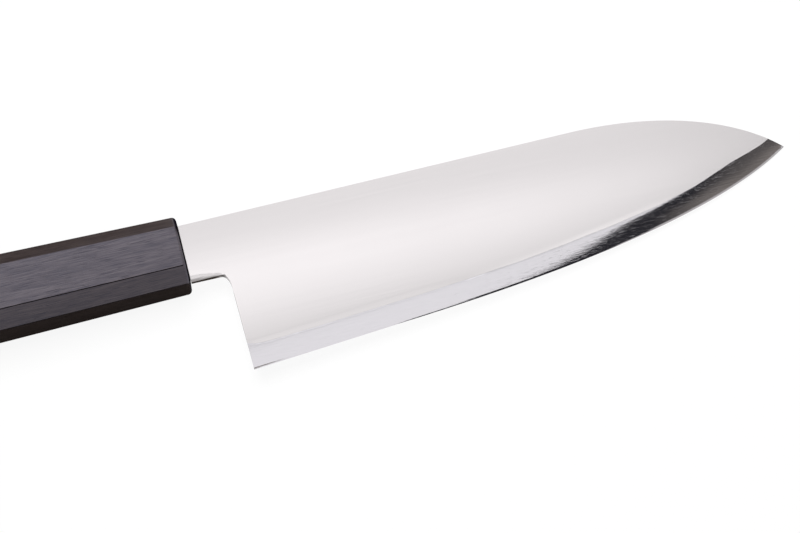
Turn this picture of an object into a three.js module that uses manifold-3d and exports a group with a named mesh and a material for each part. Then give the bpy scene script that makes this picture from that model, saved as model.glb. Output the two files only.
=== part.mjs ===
// Santoku kitchen knife: a laminated steel blade that runs back through a short neck into a hidden tang,
// bedded in a slotted dowel inside a one-piece octagonal wooden handle.
// Lengths are millimetres and angles are degrees. In the knife's own axes X runs to the tip, Y to the spine
// and Z out of the right side of the blade, from the middle of the handle's front face.
import * as THREE from 'three';
import { mergeVertices } from 'three/addons/utils/BufferGeometryUtils.js';
import Module from 'manifold-3d';

// Blade outline
const BLADE_LENGTH = 162.6; // heel to tip, along the handle's axis
const BLADE_HEIGHT = 45.8; // heel to spine, square to the handle's axis
const SPINE_ABOVE_AXIS = 8.5; // at the handle's front face
const SPINE_RISE = 0.4; // angle of the straight spine
const SPINE_DROP_LENGTH = 59; // last stretch of the spine, which curves down to the tip
const SPINE_DROP_PULL = 22.3; // how far that curve keeps to the spine's own line
const SPINE_TIP_PULL = 19.5; // how far it keeps to its line at the tip
const SPINE_TIP_ANGLE = 44; // downwards, at the tip
const TIP_BELOW_SPINE = 17.9; // from the spine's line at the handle down to the tip
const EDGE_RISE = 4.3; // angle of the straight edge
const EDGE_FLAT_LENGTH = 48.6; // straight stretch of the edge, from the heel
const EDGE_BELLY_PULL = 40.5; // how far the belly's curve keeps to the straight edge's line
const EDGE_TIP_PULL = 29; // how far it keeps to its line at the tip
const EDGE_TIP_ANGLE = 31.9; // upwards, at the tip
const NECK_LENGTH = 11.4; // handle's front face to heel
const NECK_HEIGHT = 17.05;
const CHOIL_LEAN = 0.4; // how far the choil leans back from the heel
const CHOIL_FILLET_LENGTH = 2.2; // rounding of the corner under the neck, along the neck
const CHOIL_FILLET_HEIGHT = 4.5; // and along the choil

// Blade section
const STOCK_THICKNESS = 2.6; // of the neck and the tang
const CORE_THICKNESS = 0.9; // of the hard middle layer
const LAMINATION_GAP = 0.03; // between the core and each cladding
const LAMINATION_AT_HEEL = 6.5; // width of the core's strip above the edge
const LAMINATION_AT_TIP = 5.5;
const LAMINATION_TAPER = 100; // distance from the heel over which the strip narrows
const FACE_ANGLE_AT_HEEL = 1.1; // lean of each blade face
const FACE_ANGLE_AT_TIP = 0.6;
const MICRO_BEVEL_WIDTH = 0.5;
const BEHIND_EDGE_THICKNESS = 0.3; // at the top of the micro bevel
const APEX_THICKNESS = 0.04; // land left on the edge itself

// Tang and what holds it
const TANG_MOUTH_HEIGHT = 10;
const TANG_END_HEIGHT = 6;
const SHOULDER_GAP = 0.2; // neck's shoulder to the handle's front face
const GLUE_GAP = 0.15; // between glued pieces
const BEDDING_THICKNESS = 0.6; // resin around the tang
const DOWEL_WALL = 0.7; // least wood beside the dowel's slot
const DOWEL_END = 4; // wood behind the dowel's slot
const SEAL_DEPTH = 2;

// Handle
const HANDLE_LENGTH = 130;
const BUTT_SOLID = 36; // wood behind the bore
const FRONT_WALL = 2.05; // wood beside the bore at the front face
const HANDLE_OVAL = 1.7; // how much taller than wide the handle is
const HANDLE_FLARE = 2.4; // growth of each side from front to butt
const FRONT_CHAMFER = 4.2;
const BUTT_CHAMFER = 5.2;
const FRONT_EDGE_RADIUS = 1.2;
const BUTT_EDGE_RADIUS = 1.5;

// How far a cutter reaches past what it cuts, and how finely round shapes are cut
const CUT_MARGIN = 5;
const BELLY_STEPS = 24;
const DROP_STEPS = 16;
const FILLET_STEPS = 8;
const EDGE_STEPS = 4;
const ROUND_SIDES = 32;

const radians = THREE.MathUtils.degToRad;
const lerp = THREE.MathUtils.lerp;

// Sizes that follow from the ones above
const stockHalf = STOCK_THICKNESS / 2;
const coreHalf = CORE_THICKNESS / 2;
const slotOffset = GLUE_GAP + BEDDING_THICKNESS + GLUE_GAP;
const slotHalfDiagonal = Math.hypot(TANG_MOUTH_HEIGHT / 2 + slotOffset, stockHalf + slotOffset);
const dowelRadius = slotHalfDiagonal + DOWEL_WALL;
const boreRadius = dowelRadius + GLUE_GAP;
const boreDepth = HANDLE_LENGTH - BUTT_SOLID;
const tangLength = boreDepth - GLUE_GAP - DOWEL_END - slotOffset;
const frontWidth = 2 * (boreRadius + FRONT_WALL);
const heel = new THREE.Vector2(NECK_LENGTH, SPINE_ABOVE_AXIS - BLADE_HEIGHT);
const tip = new THREE.Vector2(NECK_LENGTH + BLADE_LENGTH, SPINE_ABOVE_AXIS - TIP_BELOW_SPINE);

const wasm = await Module();
wasm.setup();

// Solid for joining and cutting, from a closed geometry.
function solidOf(geometry) {
  const bare = geometry.clone();
  bare.deleteAttribute('normal');
  bare.deleteAttribute('uv');
  const merged = mergeVertices(bare);
  const mesh = new wasm.Mesh({
    numProp: 3,
    vertProperties: merged.attributes.position.array,
    triVerts: new Uint32Array(merged.index.array),
  });
  return new wasm.Manifold(mesh);
}

// Geometry of a finished solid, with flat-shaded faces.
function geometryOf(solid) {
  const mesh = solid.getMesh();
  const indexed = new THREE.BufferGeometry();
  indexed.setAttribute('position', new THREE.BufferAttribute(mesh.vertProperties, 3));
  indexed.setIndex(new THREE.BufferAttribute(mesh.triVerts, 1));
  const geometry = indexed.toNonIndexed();
  geometry.computeVertexNormals();
  return geometry;
}

// Closed solid through rings of points, each counterclockwise seen from the last ring's side, with flat ends.
function loft(rings) {
  const count = rings[0].length;
  const last = (rings.length - 1) * count;
  const index = [];
  for (let start = 0; start < last; start += count) {
    for (let side = 0; side < count; side += 1) {
      const here = start + side;
      const next = start + ((side + 1) % count);
      index.push(here, next, here + count);
      index.push(next, next + count, here + count);
    }
  }
  for (let side = 1; side < count - 1; side += 1) {
    index.push(0, side + 1, side);
    index.push(last, last + side, last + side + 1);
  }
  const geometry = new THREE.BufferGeometry().setFromPoints(rings.flat());
  geometry.setIndex(index);
  return solidOf(geometry);
}

// Slab of an outline in the blade's plane, centred on the blade.
function slab(points, thickness) {
  const outline = new THREE.Shape(points);
  const geometry = new THREE.ExtrudeGeometry(outline, { depth: thickness, bevelEnabled: false });
  geometry.translate(0, 0, -thickness / 2);
  return solidOf(geometry);
}

// Round bar along the handle's axis.
function roundBar(radius, fromX, toX) {
  const geometry = new THREE.CylinderGeometry(radius, radius, toX - fromX, ROUND_SIDES);
  geometry.rotateZ(-Math.PI / 2);
  geometry.translate((fromX + toX) / 2, 0, 0);
  return solidOf(geometry);
}

function direction(degrees) {
  return new THREE.Vector2(Math.cos(radians(degrees)), Math.sin(radians(degrees)));
}

// Point that lies a distance from another in a direction.
function offset(point, along, distance) {
  return point.clone().addScaledVector(along, distance);
}

// Height of the straight spine above the handle's axis.
function spineHeight(x) {
  return SPINE_ABOVE_AXIS + x * Math.tan(radians(SPINE_RISE));
}

// Curved end of the spine, from its straight stretch down to the tip.
function spineDrop() {
  const start = new THREE.Vector2(tip.x - SPINE_DROP_LENGTH, spineHeight(tip.x - SPINE_DROP_LENGTH));
  return new THREE.CubicBezierCurve(
    start,
    offset(start, direction(SPINE_RISE), SPINE_DROP_PULL),
    offset(tip, direction(-SPINE_TIP_ANGLE), -SPINE_TIP_PULL),
    tip,
  );
}

// Curved end of the edge, from its straight stretch up to the tip.
function edgeBelly() {
  const start = offset(heel, direction(EDGE_RISE), EDGE_FLAT_LENGTH);
  return new THREE.CubicBezierCurve(
    start,
    offset(start, direction(EDGE_RISE), EDGE_BELLY_PULL),
    offset(tip, direction(EDGE_TIP_ANGLE), -EDGE_TIP_PULL),
    tip,
  );
}

// Rounded corner where the neck's underside turns down into the choil.
function choilFillet() {
  const centreX = NECK_LENGTH - CHOIL_LEAN - CHOIL_FILLET_LENGTH;
  const centreY = SPINE_ABOVE_AXIS - NECK_HEIGHT - CHOIL_FILLET_HEIGHT;
  return new THREE.EllipseCurve(
    centreX,
    centreY,
    CHOIL_FILLET_LENGTH,
    CHOIL_FILLET_HEIGHT,
    Math.PI / 2,
    0,
    true,
  );
}

function tangHalfHeight(x) {
  return lerp(TANG_MOUTH_HEIGHT, TANG_END_HEIGHT, -x / tangLength) / 2;
}

// Upper side of the tang's outline, grown all round by a clearance.
function tangSide(fromX, clearance) {
  const endX = -tangLength - clearance;
  return [
    new THREE.Vector2(endX, tangHalfHeight(endX) + clearance),
    new THREE.Vector2(fromX, tangHalfHeight(fromX) + clearance),
  ];
}

const mirrored = (point) => new THREE.Vector2(point.x, -point.y);

// Solid of the tang from its end to a place on the axis, grown all round by a clearance.
function tangSolid(toX, clearance) {
  const upper = tangSide(toX, clearance);
  const lower = upper.map(mirrored).reverse();
  return slab([...upper, ...lower], STOCK_THICKNESS + 2 * clearance);
}

// Outline that every layer of the steel shares: tang, neck, choil, edge and spine.
function steelOutline() {
  const tangUpper = tangSide(SHOULDER_GAP, 0);
  return [
    ...tangUpper.map(mirrored),
    new THREE.Vector2(SHOULDER_GAP, SPINE_ABOVE_AXIS - NECK_HEIGHT),
    ...choilFillet().getPoints(FILLET_STEPS),
    heel,
    ...edgeBelly().getPoints(BELLY_STEPS),
    ...spineDrop().getPoints(DROP_STEPS).reverse().slice(1),
    new THREE.Vector2(SHOULDER_GAP, spineHeight(SHOULDER_GAP)),
    ...tangUpper.reverse(),
  ];
}

// Places along the edge, and along its line past both ends, with the direction of the edge there.
function edgeStations() {
  const flat = direction(EDGE_RISE);
  const onLine = (x) => ({ point: offset(heel, flat, (x - heel.x) / flat.x), along: flat });
  const belly = edgeBelly();
  const stations = [onLine(-tangLength - CUT_MARGIN), onLine(0), onLine(heel.x)];
  for (let step = 0; step <= BELLY_STEPS; step += 1) {
    const share = step / BELLY_STEPS;
    stations.push({ point: belly.getPoint(share), along: belly.getTangent(share) });
  }
  const end = direction(EDGE_TIP_ANGLE);
  stations.push({ point: offset(tip, end, CUT_MARGIN), along: end });
  return stations;
}

// Solid whose section at each place along the edge is a list of [height above the edge, z] points.
function ground(profileAt) {
  const rings = edgeStations().map(({ point, along }) => {
    const inward = new THREE.Vector2(-along.y, along.x);
    return profileAt(point.x).map(([height, z]) => {
      const place = offset(point, inward, height);
      return new THREE.Vector3(place.x, place.y, z);
    });
  });
  return loft(rings);
}

const reach = BLADE_HEIGHT / Math.cos(radians(EDGE_RISE)) + CUT_MARGIN;

// Share of the way from heel to tip.
function bladeShare(x) {
  return THREE.MathUtils.clamp((x - heel.x) / BLADE_LENGTH, 0, 1);
}

// Width of the core's strip above the edge.
function laminationHeight(x) {
  const share = THREE.MathUtils.clamp((x - heel.x) / LAMINATION_TAPER, 0, 1);
  return lerp(LAMINATION_AT_HEEL, LAMINATION_AT_TIP, share);
}

function coreProfile(x) {
  const half = [
    [0, APEX_THICKNESS / 2],
    [MICRO_BEVEL_WIDTH, BEHIND_EDGE_THICKNESS / 2],
    [laminationHeight(x), coreHalf],
    [reach, coreHalf],
  ];
  const lower = half.map(([height, z]) => [height, -z]);
  return [...lower, ...half.reverse()];
}

// Right cladding: full stock at the neck and the tang, and a thin wedge on the blade.
function claddingProfile(x) {
  const inner = coreHalf + LAMINATION_GAP;
  const start = laminationHeight(x);
  const neckBottom = BLADE_HEIGHT - NECK_HEIGHT - CUT_MARGIN;
  const slope = Math.tan(radians(lerp(FACE_ANGLE_AT_HEEL, FACE_ANGLE_AT_TIP, bladeShare(x))));
  const outer = (height) => (x > 0 ? inner + (height - start) * slope : stockHalf);
  return [
    [start, inner],
    [reach, inner],
    [reach, outer(reach)],
    [neckBottom, outer(neckBottom)],
  ];
}

function coreSteel() {
  return ground(coreProfile).intersect(slab(steelOutline(), STOCK_THICKNESS));
}

function rightCladding() {
  return ground(claddingProfile).intersect(slab(steelOutline(), 2 * STOCK_THICKNESS));
}

// Half the distance between the handle's side flats.
function handleHalfWidth(x) {
  return frontWidth / 2 - HANDLE_FLARE * (x / HANDLE_LENGTH);
}

// Octagonal section of the handle, inset all round.
function handleSection(x, inset) {
  const chamfer = lerp(FRONT_CHAMFER, BUTT_CHAMFER, -x / HANDLE_LENGTH) - inset * (2 - Math.SQRT2);
  const wide = handleHalfWidth(x) - inset;
  const tall = wide + HANDLE_OVAL / 2;
  const corners = [
    [tall, chamfer - wide],
    [tall, wide - chamfer],
    [tall - chamfer, wide],
    [chamfer - tall, wide],
    [-tall, wide - chamfer],
    [-tall, chamfer - wide],
    [chamfer - tall, -wide],
    [tall - chamfer, -wide],
  ];
  return corners.map(([y, z]) => new THREE.Vector3(x, y, z));
}

// Octagonal handle with rounded ends, bored from the front for the dowel.
function handleBody() {
  const quarter = [];
  for (let step = 0; step <= EDGE_STEPS; step += 1) {
    const angle = (step / EDGE_STEPS) * (Math.PI / 2);
    quarter.push({ back: 1 - Math.cos(angle), inset: 1 - Math.sin(angle) });
  }
  const butt = quarter.map(({ back, inset }) =>
    handleSection(-HANDLE_LENGTH + back * BUTT_EDGE_RADIUS, inset * BUTT_EDGE_RADIUS),
  );
  const front = quarter.map(({ back, inset }) =>
    handleSection(-back * FRONT_EDGE_RADIUS, inset * FRONT_EDGE_RADIUS),
  );
  const bore = roundBar(boreRadius, -boreDepth, CUT_MARGIN);
  return loft([...butt, ...front.reverse()]).subtract(bore);
}

const dowelFront = -SEAL_DEPTH - GLUE_GAP;

// Round dowel that fills the bore behind the seal, slotted for the tang and its bedding.
function tangDowel() {
  const bar = roundBar(dowelRadius, GLUE_GAP - boreDepth, dowelFront);
  return bar.subtract(tangSolid(CUT_MARGIN, slotOffset));
}

// Resin sleeve around the tang, open at the front.
function tangBedding() {
  const outside = tangSolid(dowelFront, GLUE_GAP + BEDDING_THICKNESS);
  return outside.subtract(tangSolid(CUT_MARGIN, GLUE_GAP));
}

// Resin plug that closes the bore around the tang, level with the handle's front face.
function mouthSeal() {
  const plug = roundBar(dowelRadius, -SEAL_DEPTH, 0);
  return plug.subtract(tangSolid(CUT_MARGIN, GLUE_GAP));
}

function finish(color, roughness, metalness) {
  return new THREE.MeshStandardMaterial({ color, roughness, metalness });
}

const claddingSteel = finish(0xe2e0e2, 0.32, 1);
const hardSteel = finish(0xd2d2d6, 0.16, 1);
const darkWood = finish(0x3d3739, 0.48, 0);
const paleWood = finish(0xc9ab7d, 0.7, 0);
const clearResin = finish(0xa78d54, 0.35, 0);
const darkResin = finish(0x1c1816, 0.4, 0);

const knife = new THREE.Group();

function addPiece(name, solid, material) {
  const mesh = new THREE.Mesh(geometryOf(solid), material);
  mesh.name = name;
  knife.add(mesh);
  return mesh;
}

addPiece('core_steel', coreSteel(), hardSteel);
addPiece('right_cladding', rightCladding(), claddingSteel);
addPiece('left_cladding', rightCladding(), claddingSteel).scale.z = -1;
addPiece('handle_body', handleBody(), darkWood);
addPiece('tang_dowel', tangDowel(), paleWood);
addPiece('tang_bedding', tangBedding(), clearResin);
addPiece('mouth_seal', mouthSeal(), darkResin);

// Lays the knife on its left side. It balances ahead of the handle, so it tips forward until it stands on the
// front end of the handle's lower flat and on the blade's tip.
function layDown(group) {
  const flatX = -FRONT_EDGE_RADIUS;
  const flatBelowTip = handleHalfWidth(flatX) - APEX_THICKNESS / 2;
  group.rotation.y = Math.atan2(flatBelowTip, tip.x - flatX);
  const box = new THREE.Box3().setFromObject(group, true);
  const middle = box.getCenter(new THREE.Vector3());
  group.position.set(-middle.x, -middle.y, -box.min.z);
}

layDown(knife);

const part = new THREE.Group();
part.add(knife);

export default part;
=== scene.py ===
"""Looks of the santoku knife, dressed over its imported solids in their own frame.

The knife's sizes are in millimetres in its own axes: X runs to the tip, Y to the spine and Z out of the right side
of the blade, from the middle of the handle's front face. Each mesh is made in those axes, in metres, and is then
laid down as the solids lie. Finishes and the studio's cards are sized in metres.
"""

import logging
import math
from dataclasses import dataclass, field
from enum import Enum
from typing import Callable, ClassVar, Sequence, Union

import bmesh
import bpy
import numpy as np
from mathutils import Matrix, Vector


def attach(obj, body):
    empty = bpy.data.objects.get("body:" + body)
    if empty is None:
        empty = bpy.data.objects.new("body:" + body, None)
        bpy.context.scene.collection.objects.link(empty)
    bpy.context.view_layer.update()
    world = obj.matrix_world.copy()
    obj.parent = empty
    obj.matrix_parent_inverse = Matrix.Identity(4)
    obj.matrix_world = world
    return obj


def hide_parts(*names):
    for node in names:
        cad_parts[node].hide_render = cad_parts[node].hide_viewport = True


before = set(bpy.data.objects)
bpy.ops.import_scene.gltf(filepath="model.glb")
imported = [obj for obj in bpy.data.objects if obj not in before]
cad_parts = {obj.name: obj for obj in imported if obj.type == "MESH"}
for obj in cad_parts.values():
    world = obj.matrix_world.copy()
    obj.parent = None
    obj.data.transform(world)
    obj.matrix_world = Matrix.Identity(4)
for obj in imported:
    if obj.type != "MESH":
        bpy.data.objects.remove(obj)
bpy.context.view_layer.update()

LOG = logging.getLogger("santoku")
MM = 0.001
# Too small a difference to count
TINY = 1e-6
# Steps in which a crossing is closed in on
HALVINGS = 50
# Range that most values of a noise fall in
SPREAD = (0.3, 0.7)
WHITE = (1.0, 1.0, 1.0, 1.0)

Point = tuple[float, float]
Triple = tuple[float, float, float]
Colour = tuple[float, float, float]
Stops = Sequence[tuple[float, Colour]]
Ring = list[Vector]
Socket = bpy.types.NodeSocket
Value = Union[float, Sequence[float], Socket]
Depth = Callable[[np.ndarray], float]


class Slot(Enum):
    """Material slots of the record."""

    CORE_STEEL = "core_steel"
    CLADDING_STEEL = "cladding_steel"
    DARK_WOOD = "dark_wood"
    PALE_WOOD = "pale_wood"
    CLEAR_RESIN = "clear_resin"
    DARK_RESIN = "dark_resin"


def lerp(start: float, end: float, share: float) -> float:
    """Value that lies a share of the way from start to end."""
    return start + (end - start) * share


def clamp(value: float) -> float:
    """Value held between 0 and 1."""
    return min(1.0, max(0.0, value))


def swell(share: float) -> float:
    """Height of a flat arch at a share of its width, from 0 at its ends to 1 in its middle."""
    return 4 * share * (1 - share)


def toward(degrees: float) -> np.ndarray:
    """Unit vector in the blade's plane at an angle from the X axis."""
    return np.array([math.cos(math.radians(degrees)), math.sin(math.radians(degrees))])


def square_to(along: np.ndarray) -> np.ndarray:
    """Direction a quarter turn to the left of another, in the blade's plane."""
    return np.array([-along[1], along[0]])


def rectangle(low: Point, high: Point) -> list[Point]:
    """Corners of a rectangle, in order round it."""
    (x0, y0), (x1, y1) = low, high
    return [(x0, y0), (x1, y0), (x1, y1), (x0, y1)]


def quarter_round(steps: int) -> list[Point]:
    """Rounded corner of radius 1.

    Args:
        steps: how many stretches it is cut into.

    Returns:
        How far each place is in from the end and back from the face, from the end to the face.
    """
    turns = [step / steps * math.pi / 2 for step in range(steps + 1)]
    return [(1 - math.cos(turn), 1 - math.sin(turn)) for turn in turns]


def bezier(ends: Sequence[np.ndarray], steps: int) -> np.ndarray:
    """Points on a cubic curve.

    Args:
        ends: the curve's start, its two pulls and its end.
        steps: how many stretches the curve is cut into.

    Returns:
        The points, one row each.
    """
    t = np.linspace(0, 1, steps + 1)[:, None]
    a, b, c, d = ends
    return (1 - t) ** 3 * a + 3 * (1 - t) ** 2 * t * b + 3 * (1 - t) * t**2 * c + t**3 * d


def last_true(test: Callable[[float], bool], low: float, high: float) -> float:
    """Value up to which a test holds, found by halving.

    Args:
        test: the test.
        low: a value at which it holds.
        high: a value at which it no longer holds.

    Returns:
        The value.
    """
    for _ in range(HALVINGS):
        middle = (low + high) / 2
        low, high = (middle, high) if test(middle) else (low, middle)
    return low


class Path:
    """Line through points in the blade's plane, read by the distance along it."""

    STRIDE = 0.4

    def __init__(self, points: np.ndarray) -> None:
        """Keeps the points and measures the line."""
        self.points = points
        self.runs = np.concatenate([[0], np.cumsum(np.linalg.norm(np.diff(points, axis=0), axis=1))])

    @property
    def length(self) -> float:
        """Whole length of the line."""
        return float(self.runs[-1])

    def at(self, run: float) -> np.ndarray:
        """Point at a distance along the line."""
        return np.array([np.interp(run, self.runs, self.points[:, axis]) for axis in (0, 1)])

    def along(self, run: float) -> np.ndarray:
        """Direction of the line at a distance along it."""
        step = self.at(min(run + self.STRIDE, self.length)) - self.at(max(run - self.STRIDE, 0))
        return step / np.linalg.norm(step)

    def height(self, x: float) -> float:
        """Y of the line at an X."""
        return float(np.interp(x, self.points[:, 0], self.points[:, 1]))

    def run_at(self, x: float) -> float:
        """Distance along the line at an X."""
        return float(np.interp(x, self.points[:, 0], self.runs))


@dataclass(frozen=True)
class RestPose:
    """How the knife lies: on its left side, tipped forward onto the handle's front and the tip."""

    pitch: float = 3.00565
    x: float = -21.7056
    y: float = 12.4404
    z: float = 9.3692

    def matrix(self) -> Matrix:
        """Matrix from the knife's axes to the frame, in metres."""
        turn = Matrix.Rotation(math.radians(self.pitch), 4, "Y")
        return Matrix.Translation(Vector((self.x, self.y, self.z)) * MM) @ turn


class Workbench:
    """Modelling by operators, on one new mesh at a time."""

    LABEL = "corner"

    def __init__(self, pose: RestPose) -> None:
        """Keeps the pose in which finished pieces are laid down."""
        self.pose = pose

    @staticmethod
    def clear() -> None:
        """Leaves edit mode and deselects everything."""
        if bpy.context.object and bpy.context.object.mode != "OBJECT":
            bpy.ops.object.mode_set(mode="OBJECT")
        bpy.ops.object.select_all(action="DESELECT")

    def pick(self, piece: bpy.types.Object) -> None:
        """Selects one piece alone and makes it the active one.

        Args:
            piece: the object.
        """
        self.clear()
        piece.select_set(True)
        bpy.context.view_layer.objects.active = piece

    def section(self, name: str, ring: Ring) -> bpy.types.Object:
        """Starts a piece as one flat face, from a circle whose corners are moved to their places.

        Args:
            name: the piece's name.
            ring: places of the face's corners, in the knife's axes in millimetres.

        Returns:
            The new object, in edit mode, with its face selected.
        """
        self.clear()
        middle = sum(ring, Vector()) / len(ring) * MM
        bpy.ops.mesh.primitive_circle_add(
            vertices=len(ring), radius=MM, fill_type="NGON", location=(0, 0, 0), enter_editmode=True
        )
        piece = bpy.context.object
        piece.name = piece.data.name = name
        bpy.ops.transform.translate(value=middle)
        mesh = bmesh.from_edit_mesh(piece.data)
        label = mesh.verts.layers.int.new(self.LABEL)
        for corner, vert in enumerate(mesh.verts):
            vert[label] = corner
        self.move_corners(piece, ring)
        return piece

    def move_corners(self, piece: bpy.types.Object, ring: Ring) -> None:
        """Moves each corner of the selected face to its place.

        Args:
            piece: the object in edit mode.
            ring: the places, in millimetres.
        """
        mesh = bmesh.from_edit_mesh(piece.data)
        label = mesh.verts.layers.int[self.LABEL]
        face = next(face for face in mesh.faces if face.select)
        corners = sorted(face.verts, key=lambda vert: vert[label])
        for vert, place in zip(corners, ring):
            bpy.ops.mesh.select_all(action="DESELECT")
            vert.select = True
            bpy.ops.transform.translate(value=place * MM - vert.co)
        face.select_set(True)

    def loft(self, name: str, rings: Sequence[Ring]) -> bpy.types.Object:
        """Makes a solid by extruding a face from ring to ring.

        Args:
            name: the piece's name.
            rings: the corners of each section, in the same order in each.

        Returns:
            The object, in edit mode, with its last face selected.
        """
        piece = self.section(name, rings[0])
        for before, ring in zip(rings, rings[1:]):
            step = (sum(ring, Vector()) - sum(before, Vector())) / len(ring) * MM
            bpy.ops.mesh.extrude_region_move(TRANSFORM_OT_translate={"value": step})
            self.move_corners(piece, ring)
        return piece

    @staticmethod
    def pick_edges(piece: bpy.types.Object, wanted: Callable[[bmesh.types.BMEdge], bool]) -> None:
        """Selects only the edges that a test picks.

        Args:
            piece: the object in edit mode.
            wanted: the test.
        """
        bpy.ops.mesh.select_mode(type="EDGE")
        bpy.ops.mesh.select_all(action="DESELECT")
        mesh = bmesh.from_edit_mesh(piece.data)
        for edge in mesh.edges:
            if wanted(edge):
                edge.select_set(True)
        bmesh.update_edit_mesh(piece.data)

    def mark(self, piece: bpy.types.Object, name: str, share: Callable[[bmesh.types.BMVert, int], float]) -> None:
        """Writes a point attribute that a finish reads.

        Args:
            piece: the lofted object, in edit mode.
            name: the attribute's name.
            share: gives the attribute's value for a vertex and the number of its corner.
        """
        mesh = bmesh.from_edit_mesh(piece.data)
        label = mesh.verts.layers.int[self.LABEL]
        layer = mesh.verts.layers.float.new(name)
        for vert in mesh.verts:
            vert[layer] = share(vert, vert[label])
        bmesh.update_edit_mesh(piece.data)

    def lay_down(self, piece: bpy.types.Object, smooth: float, flat_faces: bool = False) -> bpy.types.Object:
        """Closes a piece and lays it down in the frame.

        Args:
            piece: the lofted object, in the knife's axes.
            smooth: the angle in degrees up to which faces are shaded as one.
            flat_faces: whether large faces keep their own shading beside small rounded ones.

        Returns:
            The same object, at the origin with its place in its mesh.
        """
        if piece.mode != "EDIT":
            self.pick(piece)
            bpy.ops.object.mode_set(mode="EDIT")
        bpy.ops.mesh.select_mode(type="VERT")
        bpy.ops.mesh.select_all(action="SELECT")
        bpy.ops.mesh.remove_doubles(threshold=TINY)
        bpy.ops.mesh.normals_make_consistent(inside=False)
        self.pick(piece)
        piece.matrix_world = self.pose.matrix()
        bpy.ops.object.transform_apply(location=True, rotation=True, scale=True)
        bpy.ops.object.shade_smooth_by_angle(angle=math.radians(smooth))
        if flat_faces:
            bpy.ops.object.modifier_add(type="WEIGHTED_NORMAL")
            piece.modifiers[-1].keep_sharp = True
            bpy.ops.object.modifier_apply(modifier=piece.modifiers[-1].name)
        piece.data.attributes.remove(piece.data.attributes[self.LABEL])
        return piece


class NodeBoard:
    """Adds and joins the nodes of one material, node group or world."""

    def __init__(self, tree: bpy.types.NodeTree) -> None:
        """Keeps the tree and empties it."""
        self.tree = tree
        tree.nodes.clear()

    def add(self, kind: str, **values: Value) -> bpy.types.Node:
        """Adds a node.

        Args:
            kind: the node's type.
            values: a constant or a socket for each input, with _ for a space in its name.

        Returns:
            The node.
        """
        node = self.tree.nodes.new(kind)
        for name, value in values.items():
            self.feed(node.inputs[name.replace("_", " ")], value)
        return node

    def feed(self, socket: Socket, value: Value) -> None:
        """Joins a socket to an input, or sets the input's constant.

        Args:
            socket: the input.
            value: the socket or the constant.
        """
        if isinstance(value, Socket):
            self.tree.links.new(value, socket)
        else:
            socket.default_value = value

    def combine(self, kind: str, first: Value, second: Value, **values: Value) -> Socket:
        """Adds a node that makes one of two.

        Args:
            kind: the node's type.
            first: what goes into the first of its last two inputs.
            second: what goes into the second of them.
            values: its other inputs.

        Returns:
            Its result.
        """
        node = self.add(kind, **values)
        self.feed(node.inputs[-2], first)
        self.feed(node.inputs[-1], second)
        return node.outputs[0]

    def math(self, operation: str, first: Value, second: Value) -> Socket:
        """Result of a sum on two values.

        Args:
            operation: which sum.
            first: its first value.
            second: its second value.

        Returns:
            The result.
        """
        node = self.tree.nodes.new("ShaderNodeMath")
        node.operation = operation
        self.feed(node.inputs[0], first)
        self.feed(node.inputs[1], second)
        return node.outputs[0]

    def weigh(self, *parts: tuple[Value, float]) -> Socket:
        """Sum of values, each taken by its own weight.

        Args:
            parts: the values and their weights.

        Returns:
            The sum.
        """
        first, *others = (value if weight == 1 else self.math("MULTIPLY", value, weight) for value, weight in parts)
        for other in others:
            first = self.math("ADD", first, other)
        return first

    def remap(self, value: Value, low: float, high: float, to_low: float, to_high: float) -> Socket:
        """Value taken from one range to another, and held there."""
        node = self.add("ShaderNodeMapRange", Value=value, From_Min=low, From_Max=high, To_Min=to_low, To_Max=to_high)
        return node.outputs["Result"]

    def ramp(self, value: Value, stops: Stops, ease: str = "LINEAR") -> Socket:
        """Colour picked from a ramp.

        Args:
            value: where on the ramp, from 0 to 1.
            stops: places on the ramp and their colours.
            ease: how the colours run into each other.

        Returns:
            The colour.
        """
        node = self.add("ShaderNodeValToRGB", Fac=value)
        node.color_ramp.interpolation = ease
        elements = node.color_ramp.elements
        while len(elements) < len(stops):
            elements.new(0.5)
        for element, (place, colour) in zip(elements, stops):
            element.position = place
            element.color = (*colour, 1.0)
        return node.outputs["Color"]

    def mix(self, share: Value, first: Socket, second: Union[Colour, Socket]) -> Socket:
        """Colour that lies a share of the way from one colour to another.

        Args:
            share: the share.
            first: the colour at 0.
            second: the colour at 1.

        Returns:
            The colour.
        """
        node = self.tree.nodes.new("ShaderNodeMix")
        node.data_type = "RGBA"
        shares, firsts, seconds = (socket for socket in node.inputs if socket.enabled)
        self.feed(shares, share)
        self.feed(firsts, first)
        self.feed(seconds, second if isinstance(second, Socket) else (*second, 1.0))
        return next(socket for socket in node.outputs if socket.enabled)

    def place(self, kind: str = "Object") -> Socket:
        """Place on a piece, or another kind of coordinate."""
        return self.add("ShaderNodeTexCoord").outputs[kind]

    def parts(self, vector: Socket) -> tuple[Socket, Socket, Socket]:
        """X, Y and Z of a place or a direction."""
        return tuple(self.add("ShaderNodeSeparateXYZ", Vector=vector).outputs)

    def attribute(self, name: str) -> Socket:
        """Value of a point attribute of the piece.

        Args:
            name: the attribute's name.

        Returns:
            The value.
        """
        node = self.add("ShaderNodeAttribute")
        node.attribute_name = name
        return node.outputs["Fac"]

    def bump(self, height: Value, distance: float) -> Socket:
        """Normal of a surface raised by a height, in metres at height 1."""
        return self.add("ShaderNodeBump", Height=height, Distance=distance, Strength=1.0).outputs["Normal"]


def new_material(name: str) -> tuple[bpy.types.Material, NodeBoard]:
    """Starts a material.

    Args:
        name: its name.

    Returns:
        The material and its empty board.
    """
    material = bpy.data.materials.new(name)
    material.use_nodes = True
    return material, NodeBoard(material.node_tree)


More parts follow.
